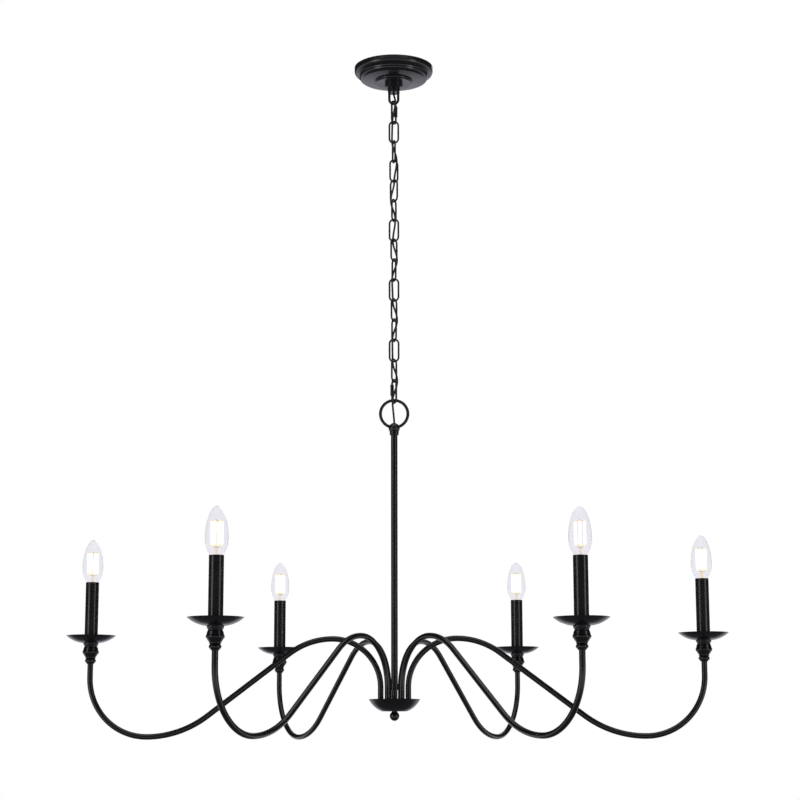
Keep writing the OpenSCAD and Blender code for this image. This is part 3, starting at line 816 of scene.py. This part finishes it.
def make_connectors(mats):
    """The two wire connectors in the canopy, with the ends of their leads."""
    for side, name, lead, slot in (
        (-1, "front", "lead_white", "lead_white"), (1, "back", "cord", "cord_black"),
    ):
        x, y = CONNECTOR_X, side * CONNECTOR_Y
        bm = bmesh.new()
        add_ribbed_cone(bm, (x * MM, y * MM, 0), CONNECTOR, 12, 0.22)
        hardware(f"connector_{name}", bm, mats["socket"], "ceiling", "socket_cream")
        bm = bmesh.new()
        for step in (-1, 1):
            route = [Vector((x + step * dx, y + side * step * dy, z)) * MM for dx, dy, z in LEAD]
            add_tube(bm, route, LEAD_R * MM, 12)
        hardware(f"leads_{name}", bm, mats[lead], "ceiling", slot)


def make_ground(mats):
    """The ground screw in the crossbar, with the bare wire that loops round it."""
    bm = bmesh.new()
    add_ribbed_cone(bm, (GROUND_X * MM, 0, BAR_UNDER * MM), GROUND_HEAD, 24, 0.05)
    hardware("ground_screw", bm, mats["green"], "ceiling", "ground_green")
    turn = []
    for i in range(17):
        a = math.radians(200 + 250 * i / 16)
        turn.append((
            GROUND_X + GROUND_LOOP * math.cos(a), GROUND_LOOP * math.sin(a), BAR_UNDER - 0.65,
        ))
    away = [
        (GROUND_X + 2, 8.2, BAR_UNDER - 0.6),
        (GROUND_X + 4, 10, -1.6),
        (GROUND_X + 4.5, 10.6, -0.7),
    ]
    bm = bmesh.new()
    add_tube(bm, [Vector(p) * MM for p in (*turn, *away)], GROUND_WIRE_R * MM, 10)
    hardware("ground_wire", bm, mats["brass"], "ceiling", "brass")


def make_nipple_thread(mats):
    """The bare stretch of thread between the nut under the crossbar and the loop's neck."""
    bm = bmesh.new()
    add_thread(bm, (0, 0, 0), *NIPPLE_THREAD, NECK_TOP + 0.2, NUT_END - 0.2)
    hardware("nipple_thread", bm, mats["zinc"], "ceiling", "zinc_steel")


SHELL_OUT, SHELL_IN, SHELL_TOP = 6.17, 6.03, -1.2
SOCKET_FLOOR = -21


def make_socket_metal(n, mats):
    """The brass shell and centre contact inside a lamp socket."""
    x, y, _, top = middle_of(f"lamp_socket_{n}")
    low = SOCKET_FLOOR
    bm = bmesh.new()
    outline = [
        (SHELL_IN, low + 0.3), (SHELL_OUT, low + 0.3),
        (SHELL_OUT, SHELL_TOP), (SHELL_IN, SHELL_TOP),
    ]
    add_lathe(bm, (x, y, top), [*outline, outline[0]], 48)
    bmesh.ops.remove_doubles(bm, verts=bm.verts, dist=1e-6)
    add_lathe(bm, (x, y, top), [
        (0, low + 0.05), (2.6, low + 0.05), (2.6, low + 1), (1.7, low + 2.6), (0, low + 2.9),
    ], 24)
    hardware(f"socket_metal_{n}", bm, mats["brass"], f"arm_{n}", "brass")


LOCK_SCREW_RISE = 20 * MM  # above the hub's rim
LOCK_SCREW = ((5.8, 1.5), (7.0, 1.5), (7.35, 1.4), (7.5, 1.1))  # (distance from the axis, radius)


def make_lock_screw(mats):
    """The grub screw in the stem's lock collar."""
    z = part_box("hub_dish")[1].z + LOCK_SCREW_RISE
    bm = bmesh.new()
    add_tube(
        bm, [Vector((0, -out * MM, z)) for out, _ in LOCK_SCREW],
        [r * MM for _, r in LOCK_SCREW], 20,
    )
    hardware("lock_screw", bm, mats["coat"], "stem", "black_metal")


def dress_cad_nodes(mats):
    """Materials for the CAD nodes that stay."""
    for name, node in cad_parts.items():
        key = "coat"
        if name.startswith(("chain_link", "quick_link", "canopy_loop")):
            key = "coat_chain"
        elif name.startswith("candle_sleeve"):
            key = "coat_sleeve"
        elif name.startswith("lamp_socket"):
            key = "socket"
        elif name == "crossbar":
            key = "zinc"
        for slot in node.material_slots:
            slot.link = "OBJECT"
            slot.material = mats[key]
        if not node.material_slots:
            node.data.materials.append(mats[key])


make_camera()
make_studio()
make_floor()
materials = make_materials()
make_cord(materials)
dress_cad_nodes(materials)
for arm in ARMS:
    make_bulb(arm, materials)
    make_socket_metal(arm, materials)
make_chain_details(materials)
make_lock_screw(materials)
make_connectors(materials)
make_ground(materials)
make_nipple_thread(materials)
